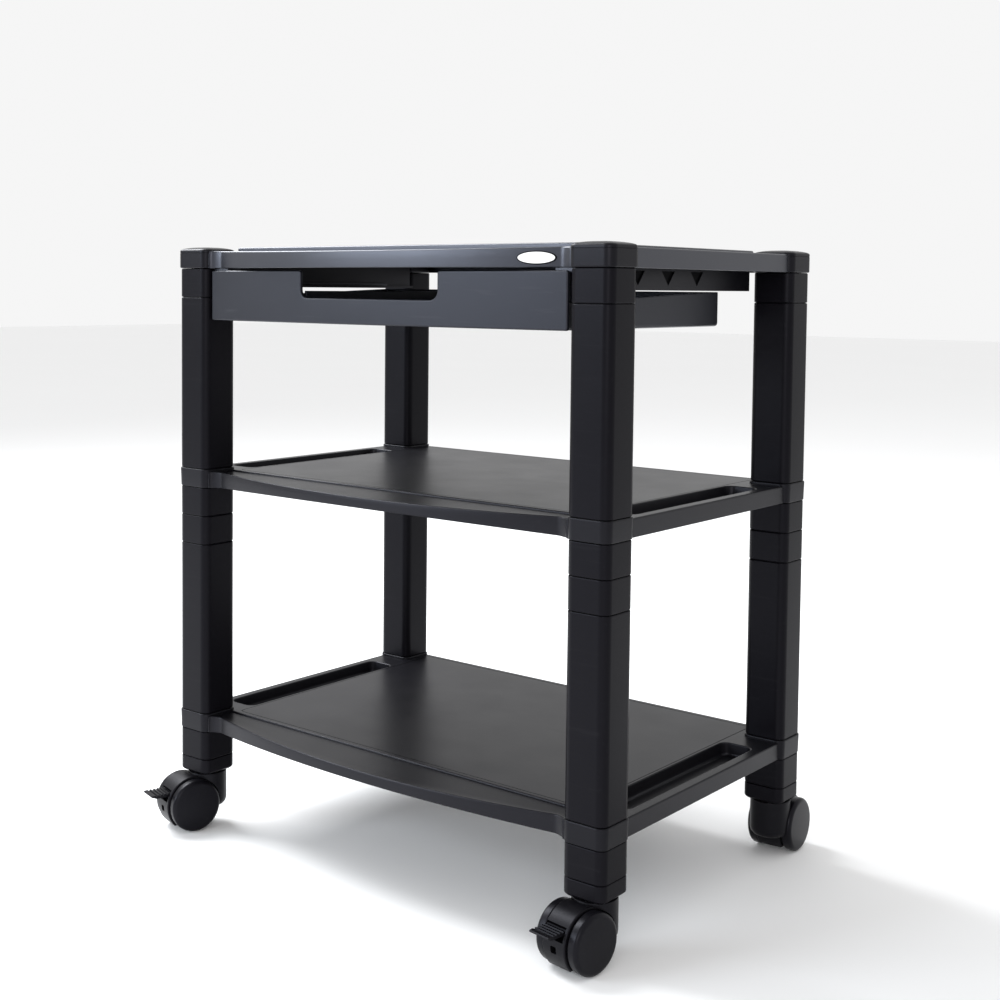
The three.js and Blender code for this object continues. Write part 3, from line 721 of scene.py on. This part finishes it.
piece(build_drawer_front(), "drawer_front", "drawer", ["drawer"], DRAWER_BLACK)

tray_outline = rounded_rect(-SIDE_X, SIDE_X, TRAY_FRONT, DRAWER_BACK, TRAY_R, 5)


def wall_top(y):
    """Height of the tray's wall: low at the back, and lowest behind the cut-out in the front."""
    if y < TRAY_FRONT + 5.5:
        return PULL_Z - 0.6
    if y > DRAWER_BACK - 8:
        return BACK_TOP
    return SIDE_TOP


def tray_loop(d, z=None, drop=0.0):
    """A loop of the tray, inset by d, at a height z or at a drop below the top of its wall."""
    loop = []
    for x, y in inset(tray_outline, d):
        top = wall_top(y)
        loop.append((x, y, top - drop if z is None else min(z, top)))
    return loop


def build_tray():
    """Up the outside of the wall, over its rounded top and down the inside to the floor."""
    z = DRAWER_Z0
    outside = [(3.0, z), (1.4, z + 0.5), (0.5, z + 1.4), (0.0, z + 3.2)]
    over = [(0.0, 0.8), (0.25, 0.2), (0.7, 0.0), (WALL - 0.7, 0.0), (WALL - 0.25, 0.2), (WALL, 0.8)]
    inside = [(WALL + 0.1, z + 4.4), (WALL + 1.0, z + 3.0), (WALL + 2.5, z + 2.4)]
    loops = [tray_loop(d, height) for d, height in outside]
    loops += [tray_loop(d, drop=drop) for d, drop in over]
    loops += [tray_loop(d, height) for d, height in inside]
    return loft("drawer_tray", loops)


piece(build_tray(), "drawer_tray", "drawer", ["drawer"], DRAWER_BLACK)
for side, word in ((-1, "left"), (1, "right")):
    near, far = sorted((side * LIP_IN, side * LIP_OUT))
    piece(brick("lip", near, far, TRAY_FRONT - 0.5, DRAWER_BACK - 0.1, LIP_LOW, LIP_HIGH),
          "drawer_lip_" + word, "drawer", ["drawer"], DRAWER_BLACK)
    near, far = sorted((side * GUSSET_IN, side * GUSSET_OUT))
    piece(brick("gusset", near, far, TRAY_FRONT + 0.5, GUSSET_BACK, PULL_Z + 0.4, DRAWER_Z1 - 1.2),
          "drawer_gusset_" + word, "drawer", ["drawer"], DRAWER_BLACK)
    x = side * DIVIDER_X
    wall = brick("divider", x - DIVIDER_HALF, x + DIVIDER_HALF, TRAY_FRONT + 1.0, DRAWER_BACK - 2,
                 DRAWER_Z0 + 1.4, DIVIDER_TOP, 0.5)
    piece(wall, "drawer_divider_" + word, "drawer", ["drawer"], DRAWER_BLACK)

# ---------------------------------------------------------------- rails


RAIL_IN, RAIL_OUT, RAIL_TOP_IN, RAIL_TOP_OUT, RAIL_SHEET = 204.6, 211.6, 209.0, 219.0, 2.5
NOTCH_COUNT, NOTCH_PITCH, NOTCH_FIRST = 4, 48.0, 97.0
NOTCH_HALF, NOTCH_LOW, NOTCH_HIGH, NOTCH_MID = 11.5, 3.6, 17.0, 11.0
NOTCH_FACE, NOTCH_FLOOR, NOTCH_TAPER = 213.0, 209.8, 0.85
RAIL_STEP = 36.0                         # the rear of the rail steps in over this length


def build_rail(side, word):
    """An angled hanging rail with a row of V-shaped notches in its outer face, and near-black sheets at the
    notches' floors as painted shade.
    """
    node = "drawer_rail_" + word
    z0, z1 = level(node), level(node, True)
    profile = [
        (RAIL_IN, z0), (RAIL_OUT, z0), (RAIL_OUT, z1 - RAIL_SHEET), (RAIL_TOP_OUT, z1 - RAIL_SHEET),
        (RAIL_TOP_OUT, z1), (RAIL_TOP_IN, z1), (RAIL_TOP_IN, z0 + RAIL_SHEET), (RAIL_IN, z0 + RAIL_SHEET),
    ]
    if side < 0:
        profile = [(-x, z) for x, z in reversed(profile)]
    lo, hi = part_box(node)
    y0, y1 = lo.y / MM - MIDDLE.y, hi.y / MM - MIDDLE.y
    rail = prism_y("rail", profile, y0, y1)
    shade_sheets = []
    for i in range(NOTCH_COUNT):
        y, mid = y1 - NOTCH_FIRST - NOTCH_PITCH * i, z0 + NOTCH_MID
        mark = [(y - NOTCH_HALF, z0 + NOTCH_HIGH), (y, z0 + NOTCH_LOW), (y + NOTCH_HALF, z0 + NOTCH_HIGH)]
        outer = [(side * NOTCH_FACE, my, mz) for my, mz in mark]
        inner = [(side * NOTCH_FLOOR, y + (my - y) * NOTCH_TAPER, mid + (mz - mid) * NOTCH_TAPER)
                 for my, mz in mark]
        cut(rail, loft("notch", [outer, inner]))
        # Near-black sheet at this notch's floor: painted shade, standing for the dark seen deep inside the
        # notch.
        layers = [[(side * x, my, mz) for my, mz in mark] for x in (NOTCH_FLOOR + 0.4, NOTCH_FLOOR - 0.2)]
        shade_sheets.append(loft("floor", layers))
    shade = join(shade_sheets[0], *shade_sheets[1:])
    piece(shade, node + "_recess", "frame", [], SEAM_AND_SHADE_BLACK)
    near, far = sorted((side * 211.0, side * 214.0))
    cut(rail, brick("step", near, far, y1 - RAIL_STEP, y1 + 3, z0 - 3, z1 - 2.6, 0.2))
    piece(rail, node + "_visual", "frame", [node], SHELF_BLACK, edge=0.35)


build_rail(-1, "left")
build_rail(1, "right")

# ---------------------------------------------------------------- casters

WHEEL_R, TRAIL = 25.0, 21.0
HOOD_R, HOOD_HALF, CAVITY_R, HOOD_LOW = 26.8, 11.8, 22.6, 6.0
NECK_R, NECK_TOP = 18.8, 53.2
LEVER_REACH, LEVER_TURN, LEVER_X = 21.3, math.radians(35), -1.2      # the lever's pivot, seen from the axle
PIVOT_OUT, PIVOT_UP = LEVER_REACH * math.cos(LEVER_TURN), LEVER_REACH * math.sin(LEVER_TURN)
LEVER_TOP, LEVER_TIP, LEVER_T, RIDGE = 39.0, 41.95, 3.4, 3.6


def turned(obj, place):
    """Turns and moves a solid's own mesh."""
    obj.data.transform(place)
    return obj


def rod(radius, x0, x1, soft=0.6, sides=72):
    """A cylinder along X round the caster's axle."""
    half = soft * 0.3
    start = [(0, x0), (radius - soft, x0), (radius - half, x0 + half), (radius, x0 + soft)]
    end = [(radius, x1 - soft), (radius - half, x1 - half), (radius - soft, x1), (0, x1)]
    return shift(lathe("rod", start + end, sides), 0, -TRAIL, WHEEL_R)


def post(radius, z0, z1, soft=0.6, sides=64):
    """An upright cylinder on the caster's swivel axis."""
    return slab("post", circle(radius, sides), z0, z1, soft, soft)


def hood_outline():
    """The hood from the side, Y and Z: a round back over the axle, cut off straight above the floor."""
    low = math.asin((HOOD_LOW - WHEEL_R) / HOOD_R)
    points = []
    for i in range(49):
        a = low + (math.pi - 2 * low) * i / 48
        points.append((-TRAIL + HOOD_R * math.cos(a), WHEEL_R + HOOD_R * math.sin(a)))
    return points


def hood(brake):
    """A caster's hood with its neck, and with a slot and a window if it has a brake lever."""
    outline = hood_outline()
    loops = []
    for x, d in ((-11.8, 1.1), (-11.5, 0.4), (-10.8, 0.0), (10.8, 0.0), (11.5, 0.4), (11.8, 1.1)):
        loops.append([(x, y, z) for y, z in inset(outline, d)])
    body = loft("hood", loops)
    stations = [(18.0, 8.0), (18.4, 5.0), (19.4, 2.8), (21.2, 1.2), (23.4, 0.35), (26.0, 0.0)]
    stations += [(52.0, 0.0), (52.8, 0.3), (NECK_TOP, 1.1)]
    join(body, loft("neck", rise(circle(NECK_R, 64), stations)))
    for side in (-1, 1):
        near, far = sorted((side * 3.0, side * 12.8))
        cut(body, rod(CAVITY_R, near, far, 0.2))
        near, far = sorted((side * HOOD_HALF, side * 30.0))
        cut(body, rod(WHEEL_R + 1, near, far, 0.2))
    cut(body, rod(4.3, -40, 40, 0.1, 32), post(5.8, 38.1, 80, 0.1, 32))
    if brake:
        pivot_y = -TRAIL - PIVOT_OUT
        cut(body, brick("slot", LEVER_X - 10.6, LEVER_X + 10.6, -90, pivot_y + 2.9, 30, 41, 0.2))
        cut(body, brick("window", -3.0, 3.0, -60, -TRAIL - 20, 19, 25, 1.2))
    return body


# A wheel's outline from its bore round the tread to its dished face, as (radius, distance from the middle).
WHEEL_HUB = [(0.0, 20.0), (4.3, 20.0), (4.3, 3.6), (18.6, 3.6), (19.2, 4.2), (19.2, 12.6)]
WHEEL_TREAD = [(23.6, 12.6), (24.4, 12.9), (24.85, 13.4), (25.0, 14.2), (25.0, 18.6), (24.85, 19.5)]
WHEEL_FACE = [(24.4, 20.4), (23.6, 21.2), (22.6, 21.8), (21.6, 22.05), (20.6, 22.12), (14.0, 22.35)]
WHEEL_FACE += [(7.0, 22.47), (0.0, 22.5)]


def wheel():
    """A wheel on the X axis, with its face towards +X."""
    return lathe("wheel", WHEEL_HUB + WHEEL_TREAD + WHEEL_FACE, 96)


def lever():
    """A foot lever about its own pivot, reaching towards -Y, with ridges across its tread."""
    top, tip = LEVER_TOP - WHEEL_R - PIVOT_UP, PIVOT_OUT - LEVER_TIP
    low = top - LEVER_T
    section = [(0.0, low), (0.0, top)]
    y = -4.0
    section.append((y, top))
    while y - RIDGE > tip + 1.0:
        section += [(y - 0.4, top - 1.2), (y - 1.4, top - 1.2), (y - 1.8, top - 0.1)]
        section += [(y - 2.2, top), (y - 3.3, top)]
        y -= RIDGE
    section += [(tip + 0.6, top - 0.2), (tip, top - 0.8), (tip + 0.1, top - 1.6), (tip + 5, low)]
    plate = prism_x("lever", section, -10, 10)
    hub = lathe("hub", [(0, -10), (1.6, -10), (1.9, -9.7), (1.9, 9.7), (1.6, 10), (0, 10)], 32)
    return join(plate, hub)


for joint in frame["joints"]:
    if not joint["name"].startswith("swivel_"):
        continue
    name = joint["name"][len("swivel_"):]
    stem = Vector(joint["pos_m"]) / MM - MIDDLE
    lo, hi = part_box("caster_axle_" + name)
    axle = (lo + hi) / 2 / MM - MIDDLE
    back = Vector((axle.x - stem.x, axle.y - stem.y))
    angle = math.atan2(back.y, back.x) + math.pi / 2
    place = Matrix.Translation((stem.x, stem.y, 0)) @ Matrix.Rotation(angle, 4, "Z")
    brake = name in BRAKED
    body = "caster_" + name
    node = "caster_hood_" + name
    piece(turned(hood(brake), place), node + "_visual", body, [node],
          CASTER_BLACK, edge=0.5)
    for word, flip in (("a", 0.0), ("b", math.pi)):
        there = place @ Matrix.Translation((0, -TRAIL, WHEEL_R)) @ Matrix.Rotation(flip, 4, "Z")
        node = f"wheel_{word}_{name}"
        piece(turned(wheel(), there), node + "_visual", node, [node], WHEEL_BLACK)
    if brake:
        there = place @ Matrix.Translation((LEVER_X, -TRAIL - PIVOT_OUT, WHEEL_R + PIVOT_UP))
        node = "brake_lever_" + name
        piece(turned(lever(), there), node + "_visual", node, [node],
              CASTER_BLACK, smooth=25)
    for pin in ("caster_stem_", "caster_axle_"):
        steel_node = frame["nodes"][pin + name]
        steel_node.data.materials.clear()
        steel_node.data.materials.append(STEEL)

# ---------------------------------------------------------------- floor and light


def pale(name, colour, roughness):
    """A pale surface with a faint change of tone."""
    mat = bpy.data.materials.new(name)
    mat.use_nodes = True
    nodes, links = mat.node_tree.nodes, mat.node_tree.links
    shader = nodes["Principled BSDF"]
    noise = nodes.new("ShaderNodeTexNoise")
    noise.inputs["Scale"].default_value = 30.0
    mix = nodes.new("ShaderNodeMix")
    mix.data_type = "RGBA"
    mix.inputs[6].default_value = (*(c * 0.985 for c in colour), 1)
    mix.inputs[7].default_value = (*colour, 1)
    links.new(noise.outputs["Fac"], mix.inputs[0])
    links.new(mix.outputs[2], shader.inputs["Base Color"])
    shader.inputs["Roughness"].default_value = roughness
    return mat


FLOOR_SIZE, FLOOR_DROP = 30, 0.0005      # metres; the drop keeps the wheels clear of the floor
bpy.ops.mesh.primitive_plane_add(size=FLOOR_SIZE, location=(0, 0, -FLOOR_DROP))
floor = bpy.context.active_object
floor.name = "floor"
floor.data.materials.append(pale("pale_floor", (0.93, 0.93, 0.93), 0.7))

world = bpy.data.worlds.new("studio")
world.use_nodes = True
world.node_tree.nodes["Background"].inputs["Color"].default_value = (1.0, 1.0, 1.0, 1)
world.node_tree.nodes["Background"].inputs["Strength"].default_value = 0.92
bpy.context.scene.world = world
bpy.context.scene.view_settings.view_transform = "Standard"


def area(name, location, target, size, power, colour):
    """A rectangular lamp at a place in metres, aimed at another."""
    data = bpy.data.lights.new(name, "AREA")
    data.shape = "RECTANGLE"
    data.size, data.size_y = size
    data.energy = power
    data.color = colour
    lamp = bpy.data.objects.new(name, data)
    lamp.location = location
    lamp.rotation_euler = (Vector(target) - Vector(location)).to_track_quat("-Z", "Y").to_euler()
    bpy.context.scene.collection.objects.link(lamp)


area("key", (-1.9, -2.9, 1.35), (0, 0, 0.5), (1.6, 1.3), 66, (0.84, 0.92, 1.0))
area("edge", (-1.7, -0.15, 2.0), (0, 0, 0.3), (1.4, 1.4), 105, (0.96, 0.98, 1.0))
area("front", (1.5, -2.0, 1.0), (0, 0, 0.3), (0.9, 0.9), 14, (1.0, 0.98, 0.98))

# ---------------------------------------------------------------- camera

SENSOR = 36.0
FOCAL_SHARE = 1.4664                     # focal length as a share of the sensor's width
YAW, PITCH, ROLL = -0.6942, -0.0539, 0.0087
CAMERA_AT = Vector((869.0, -1104.4, 533.7))
SHIFT_X, SHIFT_Y = 0.0539, -0.133

forward = Vector((math.sin(YAW) * math.cos(PITCH), math.cos(YAW) * math.cos(PITCH), math.sin(PITCH)))
right = Vector((math.cos(YAW), -math.sin(YAW), 0))
up = right.cross(forward)
rolled_right = math.cos(ROLL) * right + math.sin(ROLL) * up
rolled_up = math.cos(ROLL) * up - math.sin(ROLL) * right
turned_to = Matrix((rolled_right, rolled_up, -forward)).transposed()
camera_data = bpy.data.cameras.new("camera")
camera_data.sensor_width = SENSOR
camera_data.lens = FOCAL_SHARE * SENSOR
camera_data.shift_x, camera_data.shift_y = SHIFT_X, SHIFT_Y
camera_data.clip_start, camera_data.clip_end = 0.05, 60
camera = bpy.data.objects.new("camera", camera_data)
camera.matrix_world = Matrix.Translation((CAMERA_AT + MIDDLE) * MM) @ turned_to.to_4x4()
bpy.context.scene.collection.objects.link(camera)
bpy.context.scene.camera = camera
